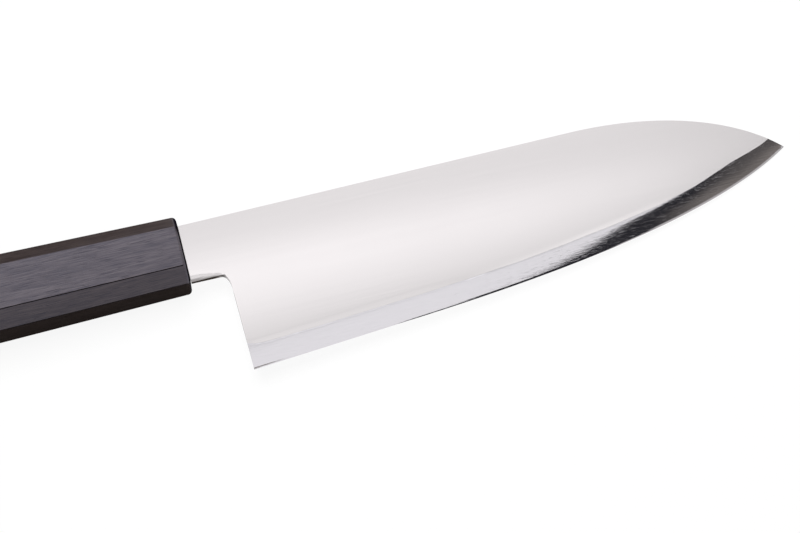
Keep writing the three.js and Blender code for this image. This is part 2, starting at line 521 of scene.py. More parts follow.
@dataclass(frozen=True)
class PatternGroup:
    """Node group of one pattern, built once and placed with its own sizes in each material that shows it."""

    name: str
    sizes: tuple[str, ...]
    output: str

    def pattern(self, board: NodeBoard, given: bpy.types.Node) -> Socket:
        """Lays out the pattern from the node that gives the group's inputs."""
        raise NotImplementedError

    def tree(self) -> bpy.types.NodeTree:
        """Builds the group once.

        Returns:
            The group.
        """
        known = bpy.data.node_groups.get(self.name)
        if known:
            return known
        tree = bpy.data.node_groups.new(self.name, "ShaderNodeTree")
        board = NodeBoard(tree)
        for name in self.sizes:
            tree.interface.new_socket(name, in_out="INPUT", socket_type="NodeSocketFloat")
        tree.interface.new_socket(self.output, in_out="OUTPUT", socket_type="NodeSocketFloat")
        board.add("NodeGroupOutput", **{self.output: self.pattern(board, board.add("NodeGroupInput"))})
        return tree

    def put(self, board: NodeBoard, *sizes: float) -> Socket:
        """Places the group in a material.

        Args:
            board: the material's nodes.
            sizes: the group's sizes, in their order.

        Returns:
            The pattern, from 0 to 1.
        """
        node = board.tree.nodes.new("ShaderNodeGroup")
        node.node_tree = self.tree()
        for name, size in zip(self.sizes, sizes):
            node.inputs[name].default_value = size
        return node.outputs[self.output]


@dataclass(frozen=True)
class StreakGroup(PatternGroup):
    """Fine marks that run along the knife, such as grain, brushing and polishing lines."""

    name: str = "Lengthwise streaks"
    sizes: tuple[str, ...] = ("Length", "Width", "Detail", "Shift")
    output: str = "Streaks"
    pitch: float = RestPose().pitch
    roughness: float = 0.6

    def pattern(self, board: NodeBoard, given: bpy.types.Node) -> Socket:
        """Noise drawn out along the knife.

        Args:
            board: the group's nodes.
            given: the node that gives the group's inputs.

        Returns:
            The noise.
        """
        turn = (0.0, -math.radians(self.pitch), 0.0)
        turned = board.add("ShaderNodeMapping", Vector=board.place(), Rotation=turn)
        x, y, z = board.parts(turned.outputs["Vector"])
        length, width, detail, shift = (given.outputs[name] for name in self.sizes)
        stretched = board.add(
            "ShaderNodeCombineXYZ",
            X=board.math("ADD", board.math("DIVIDE", x, length), shift),
            Y=board.math("DIVIDE", y, width),
            Z=board.math("DIVIDE", z, width),
        ).outputs["Vector"]
        noise = board.add(
            "ShaderNodeTexNoise", Vector=stretched, Scale=1.0, Detail=detail, Roughness=self.roughness
        )
        return noise.outputs["Fac"]


@dataclass(frozen=True)
class CloudGroup(PatternGroup):
    """Soft blotches, such as handling marks and uneven tone."""

    name: str = "Soft blotches"
    sizes: tuple[str, ...] = ("Size",)
    output: str = "Blotches"
    detail: float = 3.0
    roughness: float = 0.55

    def pattern(self, board: NodeBoard, given: bpy.types.Node) -> Socket:
        """Noise of one size all round.

        Args:
            board: the group's nodes.
            given: the node that gives the group's inputs.

        Returns:
            The noise.
        """
        scale = board.math("DIVIDE", 1.0, given.outputs["Size"])
        noise = board.add(
            "ShaderNodeTexNoise", Vector=board.place(), Scale=scale, Detail=self.detail, Roughness=self.roughness
        )
        return noise.outputs["Fac"]


@dataclass(frozen=True)
class Streaks:
    """One kind of mark along the knife: its usual length and width, its finer sizes and its pattern's shift."""

    length: float
    width: float
    detail: float = 2.0
    shift: float = 0.0

    def put(self, board: NodeBoard) -> Socket:
        """Places the marks in a material, as values from 0 to 1."""
        return StreakGroup().put(board, self.length, self.width, self.detail, self.shift)


@dataclass(frozen=True)
class Finish:
    """Surface of one kind of material."""

    name: str
    slot: Slot

    @staticmethod
    def surface(board: NodeBoard, **values: Value) -> None:
        """Ends the material in one shader with these inputs."""
        shader = board.add("ShaderNodeBsdfPrincipled", **values)
        board.add("ShaderNodeOutputMaterial", Surface=shader.outputs["BSDF"])

    def material(self) -> bpy.types.Material:
        """Builds the finish."""
        raise NotImplementedError

    def coat(self, piece: bpy.types.Object) -> None:
        """Gives a piece this finish alone.

        Args:
            piece: the piece.
        """
        material = bpy.data.materials.get(self.name) or self.material()
        piece.data.materials.clear()
        piece.data.materials.append(material)


@dataclass(frozen=True)
class Steel(Finish):
    """Steel with painted shade: a darker colour round the neck's underside and down the choil."""

    # Attribute that marks where shade is painted, round the neck and down the choil
    PAINTED_SHADE: ClassVar[str] = "painted_shade_rim"

    # Darker steel colours painted there as shade
    painted_shade_tones: Stops = ((0.25, (0.36, 0.34, 0.345)), (0.75, (0.46, 0.435, 0.44)))

    def with_painted_shade(self, board: NodeBoard, steel: Socket, tone: Socket) -> Socket:
        """Colour of the steel with its painted shade round the neck and down the choil."""
        return board.mix(board.attribute(self.PAINTED_SHADE), steel, board.ramp(tone, self.painted_shade_tones))


@dataclass(frozen=True)
class SatinCladding(Steel):
    """Soft satin of the outer steel, with fine lengthwise brushing and painted shade along the neck's underside and
    down the choil.
    """

    name: str = "Satin cladding steel"
    slot: Slot = Slot.CLADDING_STEEL
    fine: Streaks = Streaks(0.05, 0.00022, 3.0)
    fine_share: float = 0.6
    broad: Streaks = Streaks(0.09, 0.0016, 2.0, 7.0)
    broad_share: float = 0.4
    cloud_size: float = 0.03
    tones: Stops = ((0.25, (0.873, 0.838, 0.847)), (0.75, (0.905, 0.869, 0.878)))
    roughness: Point = (0.1, 0.12)
    cloud_roughness: float = 0.006
    brush_depth: float = 0.3e-6

    def material(self) -> bpy.types.Material:
        """Builds the finish.

        Returns:
            The material.
        """
        material, board = new_material(self.name)
        fine = self.fine.put(board)
        clouds = CloudGroup().put(board, self.cloud_size)
        tone = board.weigh((fine, self.fine_share), (self.broad.put(board), self.broad_share))
        uneven = board.remap(clouds, *SPREAD, -self.cloud_roughness, self.cloud_roughness)
        self.surface(
            board,
            # Painted shade darkens the cladding round the neck and down the choil
            Base_Color=self.with_painted_shade(board, board.ramp(tone, self.tones), tone),
            Metallic=1.0,
            Roughness=board.math("ADD", board.remap(fine, *SPREAD, *self.roughness), uneven),
            Normal=board.bump(tone, self.brush_depth),
        )
        return material


@dataclass(frozen=True)
class PolishedCore(Steel):
    """Polished hard steel of the edge, with lengthwise polishing lines."""

    LINE: ClassVar[str] = "lamination_line"

    name: str = "Polished core steel"
    slot: Slot = Slot.CORE_STEEL
    lines: Streaks = Streaks(0.005, 0.0004)
    tones: Stops = ((0.3, (0.862, 0.838, 0.878)), (0.7, (0.886, 0.86, 0.902)))
    hair: Streaks = Streaks(0.006, 0.00016, 1.0, 3.0)
    hair_range: Point = (0.45, 0.75)
    hair_height: float = 0.15
    roughness: Point = (0.04, 0.07)
    flecks: Streaks = Streaks(0.0024, 0.00022, 1.0, 9.0)
    fleck_range: Point = (0.55, 0.75)
    fleck_roughness: float = 0.11
    line_colour: Colour = (0.25, 0.24, 0.245)
    line_stretch: Point = (-0.01, 0.06)
    line_shares: Point = (0.04, 0.08)
    polish_depth: float = 3.6e-6

    def material(self) -> bpy.types.Material:
        """Builds the finish.

        Returns:
            The material.
        """
        material, board = new_material(self.name)
        lines, hair = self.lines.put(board), self.hair.put(board)
        flecks = board.remap(self.flecks.put(board), *self.fleck_range, 0.0, 1.0)
        x, _, _ = board.parts(board.place())
        share = board.remap(x, *self.line_stretch, *self.line_shares)
        dark = board.math("MULTIPLY", board.attribute(self.LINE), share)
        lined = board.mix(dark, board.ramp(lines, self.tones), self.line_colour)
        rough = board.remap(hair, *self.hair_range, *self.roughness)
        self.surface(
            board,
            # Painted shade darkens the core round the neck and down the choil
            Base_Color=self.with_painted_shade(board, lined, lines),
            Metallic=1.0,
            Roughness=board.weigh((rough, 1), (flecks, self.fleck_roughness)),
            Normal=board.bump(board.weigh((lines, 1), (hair, self.hair_height)), self.polish_depth),
        )
        return material


@dataclass(frozen=True)
class DarkWood(Finish):
    """Dark close-grained hardwood, rubbed to a low sheen, with painted shade along the lower ridges and over the
    front's rounding.
    """

    # Attribute that marks the painted shade along the lower ridges and the front's rounding
    SHADED_RIDGE: ClassVar[str] = "shaded_ridge_line"
    # Attribute of the end grain on the butt and the front face, and of painted shade on the front's rounding
    END_GRAIN_AND_SHADE: ClassVar[str] = "end_grain_and_shade"

    name: str = "Dark hardwood"
    slot: Slot = Slot.DARK_WOOD
    grain: Streaks = Streaks(0.024, 0.00016, 3.0)
    grain_share: float = 0.75
    grain_height: float = 0.4
    figure: Streaks = Streaks(0.04, 0.0022, 2.0, 7.0)
    figure_share: float = 0.25
    pores: Streaks = Streaks(0.006, 0.0002, 1.0, 5.0)
    pore_range: Point = (0.6, 0.7)
    pore_shade: float = 0.4
    pore_roughness: float = 0.15
    tones: Stops = ((0.34, (0.02, 0.013, 0.012)), (0.5, (0.06, 0.045, 0.042)), (0.66, (0.11, 0.088, 0.084)))
    roughness: Point = (0.29, 0.38)
    to_heart: Triple = (0.0, 0.012, 0.01)
    ring_scale: float = 270.0
    ring_wander: float = 4.0
    ring_detail: float = 2.0
    ring_share: float = 0.3
    end_share: float = 0.7
    # Dark end-grain colours, also painted on the front's rounding as shade
    end_tones: Stops = ((0.3, (0.011, 0.004, 0.007)), (0.7, (0.036, 0.017, 0.021)))
    # Metal share at the ends, which with their dark colour takes the sheen away as painted shade
    end_dark_metal: float = 0.5
    end_roughness: float = 0.25
    # Near-black colours painted as shade on the lower ridges and the front's rounding
    shaded_ridge_tones: Stops = ((0.3, (0.007, 0.0045, 0.006)), (0.7, (0.018, 0.0125, 0.0155)))
    ridge_roughness: float = 0.5
    refraction: float = 1.6
    sheen: float = 1.0
    sheen_tint: Colour = (0.615, 0.645, 0.855)
    pore_depth: float = 1.2e-5

    def rings(self, board: NodeBoard) -> Socket:
        """Growth rings about the tree's heart, which lies beside the handle.

        Args:
            board: the material's nodes.

        Returns:
            The rings, from 0 to 1.
        """
        about_heart = board.add("ShaderNodeMapping", Vector=board.place(), Location=self.to_heart)
        wave = board.add(
            "ShaderNodeTexWave",
            Vector=about_heart.outputs["Vector"],
            Scale=self.ring_scale,
            Distortion=self.ring_wander,
            Detail=self.ring_detail,
        )
        wave.wave_type, wave.rings_direction = "RINGS", "X"
        return wave.outputs["Fac"]

    def material(self) -> bpy.types.Material:
        """Builds the finish.

        Returns:
            The material.
        """
        material, board = new_material(self.name)
        grain = self.grain.put(board)
        pits = board.remap(self.pores.put(board), *self.pore_range, 0.0, 1.0)
        tone = board.weigh((grain, self.grain_share), (self.figure.put(board), self.figure_share))
        ridge, ends = board.attribute(self.SHADED_RIDGE), board.attribute(self.END_GRAIN_AND_SHADE)
        wood = board.ramp(board.weigh((tone, 1), (pits, -self.pore_shade)), self.tones)
        cut = board.weigh((tone, self.end_share), (self.rings(board), self.ring_share))
        # End grain at the butt and the front face, and painted shade on the front's rounding
        with_dark_ends = board.mix(ends, wood, board.ramp(cut, self.end_tones))
        self.surface(
            board,
            # Painted shade: near-black colour on the lower ridges and the front's rounding, whose metal share also
            # takes the sheen away
            Base_Color=board.mix(ridge, with_dark_ends, board.ramp(tone, self.shaded_ridge_tones)),
            Metallic=board.math("MAXIMUM", ridge, board.math("MULTIPLY", ends, self.end_dark_metal)),
            Roughness=board.weigh(
                (board.remap(grain, *SPREAD, *self.roughness), 1),
                (pits, self.pore_roughness),
                (ends, self.end_roughness),
                (ridge, self.ridge_roughness),
            ),
            IOR=self.refraction,
            Specular_IOR_Level=self.sheen,
            Specular_Tint=(*self.sheen_tint, 1.0),
            Normal=board.bump(board.weigh((grain, self.grain_height), (pits, -1)), self.pore_depth),
        )
        return material


@dataclass(frozen=True)
class PaleWood(Finish):
    """Pale softwood of the dowel."""

    name: str = "Pale softwood"
    slot: Slot = Slot.PALE_WOOD
    grain: Streaks = Streaks(0.03, 0.0009, 4.0)
    tones: Stops = ((0.3, (0.5, 0.34, 0.17)), (0.7, (0.68, 0.5, 0.29)))
    roughness: Point = (0.62, 0.75)
    grain_depth: float = 3e-5

    def material(self) -> bpy.types.Material:
        """Builds the finish.

        Returns:
            The material.
        """
        material, board = new_material(self.name)
        grain = self.grain.put(board)
        self.surface(
            board,
            Base_Color=board.ramp(grain, self.tones),
            Roughness=board.remap(grain, *SPREAD, *self.roughness),
            Normal=board.bump(grain, self.grain_depth),
        )
        return material


@dataclass(frozen=True)
class Resin(Finish):
    """Set resin with soft blotches and tiny dimples."""

    tones: Stops = ((0.3, (0.010, 0.008, 0.007)), (0.7, (0.020, 0.016, 0.014)))
    cloud_size: float = 0.003
    dimple_size: float = 0.0006
    dimple_depth: float = 1.5e-5
    roughness: Point = (0.3, 0.45)

    def material(self) -> bpy.types.Material:
        """Builds the finish.

        Returns:
            The material.
        """
        material, board = new_material(self.name)
        dimples = CloudGroup().put(board, self.dimple_size)
        self.surface(
            board,
            Base_Color=board.ramp(CloudGroup().put(board, self.cloud_size), self.tones),
            Roughness=board.remap(dimples, *SPREAD, *self.roughness),
            Normal=board.bump(dimples, self.dimple_depth),
        )
        return material


def dress(piece: bpy.types.Object, finish: Finish, node: str) -> None:
    """Gives a new piece its finish and puts it in the place of a solid.

    Args:
        piece: the piece.
        finish: its surface.
        node: the solid that it stands for.
    """
    finish.coat(piece)
    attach(piece, "root")
    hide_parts(node)
    LOG.info("%s: %d faces, %s", piece.name, len(piece.data.polygons), finish.name)


@dataclass(frozen=True)
class BladeOutline:
    """Outline of the steel in the blade's plane."""

    blade_length: float = 162.6
    blade_height: float = 45.8
    spine_above_axis: float = 8.5
    spine_rise: float = 0.4
    spine_drop_length: float = 59.0
    spine_drop_pull: float = 22.3
    spine_tip_pull: float = 19.5
    spine_tip_angle: float = 44.0
    tip_below_spine: float = 17.9
    edge_rise: float = 4.3
    edge_flat_length: float = 48.6
    edge_belly_pull: float = 40.5
    edge_tip_pull: float = 29.0
    edge_tip_angle: float = 31.9
    neck_length: float = 11.4
    neck_height: float = 17.05
    choil_lean: float = 0.4
    choil_fillet_length: float = 2.2
    choil_fillet_height: float = 4.5
    shoulder: float = 0.2
    tang_length: float = 88.95
    tang_mouth_height: float = 10.0
    tang_end_height: float = 6.0
    spine_points: int = 60
    spine_steps: int = 160
    edge_points: int = 40
    edge_steps: int = 220
    neck_points: int = 5
    fillet_points: int = 13

    @property
    def heel(self) -> np.ndarray:
        """Corner where the choil meets the edge."""
        return np.array([self.neck_length, self.spine_above_axis - self.blade_height])

    @property
    def tip(self) -> np.ndarray:
        """Point of the blade."""
        return np.array([self.neck_length + self.blade_length, self.spine_above_axis - self.tip_below_spine])

    @property
    def neck_bottom(self) -> float:
        """Y of the neck's underside."""
        return self.spine_above_axis - self.neck_height

    @property
    def choil_top(self) -> np.ndarray:
        """Place where the rounded corner under the neck runs into the choil."""
        return np.array([self.neck_length - self.choil_lean, self.neck_bottom - self.choil_fillet_height])

    def spine(self) -> Path:
        """Spine from the shoulder to the tip.

        Returns:
            The line.
        """
        rise = math.tan(math.radians(self.spine_rise))
        run = np.linspace(self.shoulder, self.tip[0] - self.spine_drop_length, self.spine_points)
        straight = np.array([[x, self.spine_above_axis + x * rise] for x in run])
        start_pull = straight[-1] + toward(self.spine_rise) * self.spine_drop_pull
        tip_pull = self.tip - toward(-self.spine_tip_angle) * self.spine_tip_pull
        drop = bezier([straight[-1], start_pull, tip_pull, self.tip], self.spine_steps)
        return Path(np.concatenate([straight, drop[1:]]))

    def edge(self) -> Path:
        """Edge from the heel to the tip.

        Returns:
            The line.
        """
        flat = toward(self.edge_rise)
        start = self.heel + flat * self.edge_flat_length
        start_pull = start + flat * self.edge_belly_pull
        tip_pull = self.tip - toward(self.edge_tip_angle) * self.edge_tip_pull
        belly = bezier([start, start_pull, tip_pull, self.tip], self.edge_steps)
        return Path(np.concatenate([np.linspace(self.heel, start, self.edge_points), belly[1:]]))

    def choil(self, share: float) -> np.ndarray:
        """Place on the choil, from its top at 0 to the heel at 1."""
        return self.choil_top + (self.heel - self.choil_top) * share

    def tang_half_height(self, x: float) -> float:
        """Half of the tang's height."""
        return lerp(self.tang_mouth_height, self.tang_end_height, -x / self.tang_length) / 2

    def underside(self) -> list[np.ndarray]:
        """Places along the neck's underside and the rounded corner, up to the choil.

        Returns:
            The places.
        """
        centre = np.array([self.choil_top[0] - self.choil_fillet_length, self.choil_top[1]])
        radii = np.array([self.choil_fillet_length, self.choil_fillet_height])
        neck = [np.array([x, self.neck_bottom]) for x in np.linspace(self.shoulder, centre[0], self.neck_points)]
        return neck + [centre + toward(turn) * radii for turn in np.linspace(90, 0, self.fillet_points)[1:]]


@dataclass(frozen=True)
class Column:
    """One place along the edge, with the lines that cross it."""

    edge: np.ndarray
    along: np.ndarray
    strip: float
    top: np.ndarray
    shear: float = 0.0

    def above(self, height: float) -> np.ndarray:
        """Place a height above the edge."""
        return self.edge + square_to(self.along) * height + self.along * (self.shear * height)


@dataclass
class Blade:
    """Laminated blade: a hard core between two claddings."""

    outline: BladeOutline = field(default_factory=BladeOutline)
    stock_half: float = 1.3
    core_half: float = 0.45
    lamination_gap: float = 0.03
    strip_widths: tuple[Point, ...] = (
        (11.4, 6.5),
        (50.0, 6.25),
        (86.0, 6.1),
        (97.0, 6.05),
        (114.0, 6.1),
        (125.0, 6.0),
        (136.0, 5.72),
        (147.0, 5.85),
        (153.0, 6.1),
        (160.0, 6.2),
        (164.0, 5.75),
        (170.0, 4.9),
        (174.0, 4.75),
    )
    # Length, shift and share of each of the waves that the strip's upper line is made of
    strip_waves: tuple[Triple, ...] = ((4.7, 0.0, 1.0), (2.3, 1.1, 0.6), (11.0, 0.4, 0.5))
    strip_wave: float = 0.035
    strip_crown: float = 0.25
    heel_flare: float = 1.3
    heel_flare_length: float = 2.2
    face_angle_at_heel: float = 1.1
    face_angle_at_tip: float = 0.6
    bevel_width: float = 0.5
    bevel_swell: float = 0.012
    behind_edge: float = 0.15
    apex: float = 0.02
    groove_width: float = 0.26
    groove_middle: float = 0.45
    groove_depth: float = 0.007
    groove_depth_at_tip: float = 0.0008
    groove_fade: Point = (76.0, 88.0)
    strip_shoulder_width: float = 0.9
    strip_shoulder_drop: float = 0.009
    strip_shoulder_end: float = 150.0
    strip_shoulder_fade: float = 22.0
    lip: float = 0.02
    # X, angle and width of the band of the cladding next to the lamination line
    margins: tuple[Triple, ...] = (
        (60.0, 2.0, 1.5),
        (78.0, 0.0, 1.2),
        (86.0, -0.35, 1.0),
        (103.0, -0.6, 1.0),
        (114.0, -1.0, 1.0),
        (128.0, -1.15, 1.0),
        (140.0, 0.0, 1.0),
    )
    margin_end: float = 2.0
    margin_points: int = 61
    crown: float = 6.0e-5
    spine_ease: float = 0.22
    choil_ease: float = 0.14
    ease_per_depth: float = 0.35
    ease_per_reach: float = 0.3
    ease_steps: int = 2
    roll_length: float = 2.5
    roll_depth: float = 0.36
    roll_fade: float = 8.0
    roll_least: float = 0.01
    # Where shade is painted on the steel: its height and fade above the neck's underside, how far past and above the
    # heel it reaches, and how many corners of the choil it covers
    rim_height: float = 1.0
    rim_fade: float = 0.4
    rim_past_heel: float = 0.3
    rim_above_heel: float = 8.3
    rim_corners: int = 3
    shoulder_step: float = 0.05
    choil_heights: tuple[float, ...] = (20.0, 15.0, 11.0, 8.5)
    strip_rows: tuple[float, ...] = (0.2, 0.4, 0.6, 0.76, 0.84, 0.9, 0.95, 1.0)
    low_rows: tuple[float, ...] = (0.15, 0.5, 0.9, 1.3, 1.7, 2.2, 3.4)
    low_rows_reach: float = 0.25
    face_rows: int = 8
    face_row_gap: float = 0.6
    steps: int = 96
    tip_steps: int = 14
    crowding: float = 1.3
    top_past_choil: float = 0.3
    shear_length: float = 20.0
    edge_samples: int = 600
    tallest: float = 60.0
    tip_stretch: float = 0.8
    core_smooth: float = 3.0
    cladding_smooth: float = 12.0

    def __post_init__(self) -> None:
        """Lays out the columns that the meshes are built on."""
        self.spine = self.outline.spine()
        self.edge = self.outline.edge()
        self.samples = np.array([self.edge.at(run) for run in np.linspace(0, self.edge.length, self.edge_samples)])
        self.margin_reach = np.linspace(0, self.margin_end, self.margin_points)
        tilt = np.exp(-(self.margin_reach**4))
        self.margin_rise = np.concatenate([[0], np.cumsum((tilt[1:] + tilt[:-1]) / 2)]) * self.margin_reach[1]
        self.meet = last_true(
            lambda run: self._to_spine(run) > self.strip_width(run),
            self.edge.length * self.tip_stretch,
            self.edge.length,
        )
        self.whole_strip = self.strip_width(self.meet)
        self.columns = self._columns()

    @property
    def inner(self) -> float:
        """Z of the right cladding's inner face."""
        return self.core_half + self.lamination_gap

    def strip_width(self, run: float) -> float:
        """Width of the core's strip.

        Args:
            run: the distance along the edge.

        Returns:
            The width.
        """
        wave = sum(share * math.sin(run / length + shift) for length, shift, share in self.strip_waves)
        flare = self.heel_flare * math.exp(-run / self.heel_flare_length)
        return self.plain_width(self.edge.at(run)[0]) + flare + self.strip_wave * wave

    def plain_width(self, x: float) -> float:
        """Width of the strip at an X, without its waves."""
        return float(np.interp(x, *zip(*self.strip_widths)))

    def _to_spine(self, run: float) -> float:
        """Distance from the edge to the spine, square to the edge.

        Args:
            run: the distance along the edge.

        Returns:
            The distance.
        """
        start, inward = self.edge.at(run), square_to(self.edge.along(run))

        def below(reach: float) -> bool:
            """Whether a place this far from the edge is below the spine."""
            place = start + inward * reach
            return bool(place[1] < self.spine.height(place[0]))

        return last_true(below, 0.0, self.tallest)

    def _spine_across(self, run: float) -> np.ndarray:
        """Place on the spine square above a distance along the edge."""
        return self.edge.at(run) + square_to(self.edge.along(run)) * self._to_spine(run)

    def _spine_over(self, place: np.ndarray) -> np.ndarray:
        """Place on the spine at the X of another place."""
        return np.array([place[0], self.spine.height(place[0])])

    def _shares(self, steps: int) -> list[float]:
        """Shares of a stretch that crowd towards its end."""
        return [1 - (1 - step / steps) ** self.crowding for step in range(steps + 1)]

    def _columns(self) -> list[Column]:
        """Columns from the heel to the place where the claddings end, and on to the tip.

        Returns:
            The columns.
        """
        choil, first = self.outline.choil_top - self.outline.heel, self.edge.along(0)
        lean, inward = choil[0] / choil[1], square_to(first)
        heel_shear = (lean * inward[1] - inward[0]) / (first[0] - lean * first[1])
        start_run = self.spine.run_at(self.outline.choil_top[0] + self.top_past_choil)
        end_run = self.spine.run_at(self._spine_across(self.meet)[0])
        columns = []
        for share in self._shares(self.steps):
            run = share * self.meet
            shear = heel_shear * max(0.0, 1 - run / self.shear_length)
            top = self.spine.at(lerp(start_run, end_run, share))
            columns.append(Column(self.edge.at(run), self.edge.along(run), self.strip_width(run), top, shear))
        for share in self._shares(self.tip_steps)[1:]:
            run = lerp(self.meet, self.edge.length, share)
            top = self._spine_across(run)
            columns.append(Column(self.edge.at(run), self.edge.along(run), self._to_spine(run), top))
        return columns

    def height_above_edge(self, place: np.ndarray) -> float:
        """Distance of a place from the edge, or from the edge's line behind the heel.

        Args:
            place: the place.

        Returns:
            The distance.
        """
        first, offset = self.edge.along(0), place - self.outline.heel
        if offset @ first < 0:
            return float(offset @ square_to(first))
        return float(np.min(np.linalg.norm(self.samples - place, axis=1)))

    def face(self, place: np.ndarray) -> float:
        """Z of the right cladding's outer face.

        Args:
            place: the place in the blade's plane.

        Returns:
            The Z.
        """
        share = clamp((place[0] - self.outline.heel[0]) / self.outline.blade_length)
        slope = math.tan(math.radians(lerp(self.face_angle_at_heel, self.face_angle_at_tip, share)))
        above = max(0.0, self.height_above_edge(place) - self.plain_width(place[0]))
        below_spine = max(0.0, self.spine.height(place[0]) - place[1])
        blade = self.inner + self.lip + above * slope + self._margin(place[0], above)
        return blade + self.crown * 4 * above * below_spine

    def _margin(self, x: float, above: float) -> float:
        """Rise of the cladding's face over the band next to the lamination line.

        Args:
            x: the place along the blade.
            above: the distance from the lamination line.

        Returns:
            The rise.
        """
        places, angles, widths = zip(*self.margins)
        angle, width = float(np.interp(x, places, angles)), float(np.interp(x, places, widths))
        rise = float(np.interp(above / width, self.margin_reach, self.margin_rise))
        return math.tan(math.radians(angle)) * width * rise

    def neck_share(self, x: float) -> float:
        """Share of the neck's form at a place.

        Args:
            x: the place along the knife.

        Returns:
            1 where the neck leaves the handle, down to 0 in the rounded corner under it, and 0 in the handle.
        """
        if x < self.outline.shoulder:
            return 0.0
        return clamp((self.outline.choil_top[0] - self.outline.choil_fillet_length / 2 - x) / self.roll_fade)

    def rolled_face(self, bottom: np.ndarray) -> Depth:
        """Outer face of a section that rolls off towards the neck's underside.

        Args:
            bottom: the section's place on the underside.

        Returns:
            The face's Z as a function of the place.
        """
        share = self.neck_share(bottom[0])

        def face(place: np.ndarray) -> float:
            """Z of the face at a place."""
            reach = clamp(1 - (place[1] - bottom[1]) / (self.roll_length * max(share, self.roll_least)))
            return self.face(place) - self.roll_depth * share * reach**3

        return face

    def strip(self, height: float, width: float, x: float) -> float:
        """Half thickness of the core at a height above the edge.

        Args:
            height: the height.
            width: the strip's width there.
            x: X of the edge there.

        Returns:
            The half thickness.
        """
        if height <= self.bevel_width:
            share = height / self.bevel_width
            return lerp(self.apex, self.behind_edge, share) + self.bevel_swell * swell(share)
        share = min(1.0, (height - self.bevel_width) / (width - self.bevel_width))
        plane = lerp(self.behind_edge, self.core_half, share + self.strip_crown * share * (1 - share))
        into_shoulder = clamp(1 - (width - height) / self.strip_shoulder_width)
        drop = self.strip_shoulder_drop * clamp((self.strip_shoulder_end - x) / self.strip_shoulder_fade)
        return plane + drop * (share - into_shoulder**2)

    def _core_levels(self, width: float, x: float) -> list[Point]:
        """Corners of the core's right side from the edge to the lamination line.

        Args:
            width: the strip's width.
            x: X of the edge.

        Returns:
            Their heights and half thicknesses.
        """
        heights = [0.0, self.bevel_width / 2, self.bevel_width]
        heights += [lerp(self.bevel_width, width - self.groove_width, share) for share in self.strip_rows]
        levels = [(height, self.strip(height, width, x)) for height in heights]
        dip = width - self.groove_width * self.groove_middle
        depth = float(np.interp(x, self.groove_fade, (self.groove_depth, self.groove_depth_at_tip)))
        return levels + [(dip, self.strip(dip, width, x) - depth), (width, self.core_half)]

    @staticmethod
    def _core_ring(right: Ring) -> Ring:
        """Whole section of the core from its right half."""
        return right + [Vector((place.x, place.y, -place.z)) for place in reversed(right)]

    def _tang_ends(self) -> list[tuple[np.ndarray, np.ndarray]]:
        """Sections of the tang from its end to the shoulder.

        Returns:
            The bottom and the top of each.
        """
        outline = self.outline
        stations = (-outline.tang_length, -outline.tang_length / 2, outline.shoulder - self.shoulder_step)
        halves = [(x, outline.tang_half_height(x)) for x in stations]
        return [(np.array([x, -half]), np.array([x, half])) for x, half in halves]

    def _choil_places(self) -> list[np.ndarray]:
        """Places down the choil, above the strip."""
        drop = self.outline.choil_top[1] - self.outline.heel[1]
        return [self.outline.choil(1 - height / drop) for height in self.choil_heights]

    def _flat_bottom(self, place: np.ndarray, top: np.ndarray, count: int) -> Ring:
        """Section of the core with a flat underside.

        Args:
            place: where its underside is.
            top: where its top is.
            count: how many corners the right half of the underside has.

        Returns:
            The section.
        """
        shares = [(step + 0.5) / (count - 0.5) for step in range(count)]
        bottom = [Vector((*place, self.core_half * share)) for share in shares]
        return self._core_ring(bottom + [Vector((*top, self.core_half))])

    def _heel_ring(self, levels: list[Point], reached: int) -> Ring:
        """Section of the core at the heel, whose corners below a level are still on the choil.

        Args:
            levels: heights and half thicknesses of all corners of its right side.
            reached: the lowest level that has its own place.

        Returns:
            The section.
        """
        column = self.columns[0]
        low, half = levels[reached]
        shares = [(step + 0.5) / (reached + 0.5) for step in range(reached)]
        right = [Vector((*column.above(low), half * share)) for share in shares]
        right += [Vector((*column.above(height), z)) for height, z in levels[reached:]]
        return self._core_ring(right + [Vector((*column.top, self.core_half))])

    def _strip_ring(self, column: Column) -> Ring:
        """Section of the core at a column.

        Args:
            column: the column.

        Returns:
            The section.
        """
        x, whole = column.edge[0], self.whole_strip
        levels = self._core_levels(max(column.strip, whole), x)
        if column.strip < whole - TINY:
            heights = [height * column.strip / whole for height, _ in levels]
            levels = [(height, self.strip(height, whole, x)) for height in heights]
        right = [Vector((*column.above(height), z)) for height, z in levels]
        return self._core_ring(right + [Vector((*column.top, levels[-1][1]))])

    def core_rings(self) -> list[Ring]:
        """Sections of the core from the tang's end to the tip.

        Returns:
            The sections.
        """
        first = self.columns[0]
        levels = self._core_levels(first.strip, first.edge[0])
        count = len(levels)
        rings = [self._flat_bottom(*ends, count) for ends in self._tang_ends()]
        for place in self.outline.underside() + self._choil_places():
            rings.append(self._flat_bottom(place, self._spine_over(place), count))
        rings += [self._heel_ring(levels, reached) for reached in range(count - 1, 0, -1)]
        return rings + [self._strip_ring(column) for column in self.columns]

    def _eased_corner(self, end: np.ndarray, inward: np.ndarray, ease: float, face: Depth) -> Ring:
        """Rounded outer corner at one end of a cladding's section.

        Args:
            end: the section's end.
            inward: the direction from it into the section.
            ease: the corner's radius.
            face: Z of the outer face.

        Returns:
            The corner's places, from the end inward.
        """
        corner = []
        for rise, back in quarter_round(self.ease_steps):
            place = end + inward * (rise * ease)
            corner.append(Vector((*place, face(place) - back * ease)))
        return corner

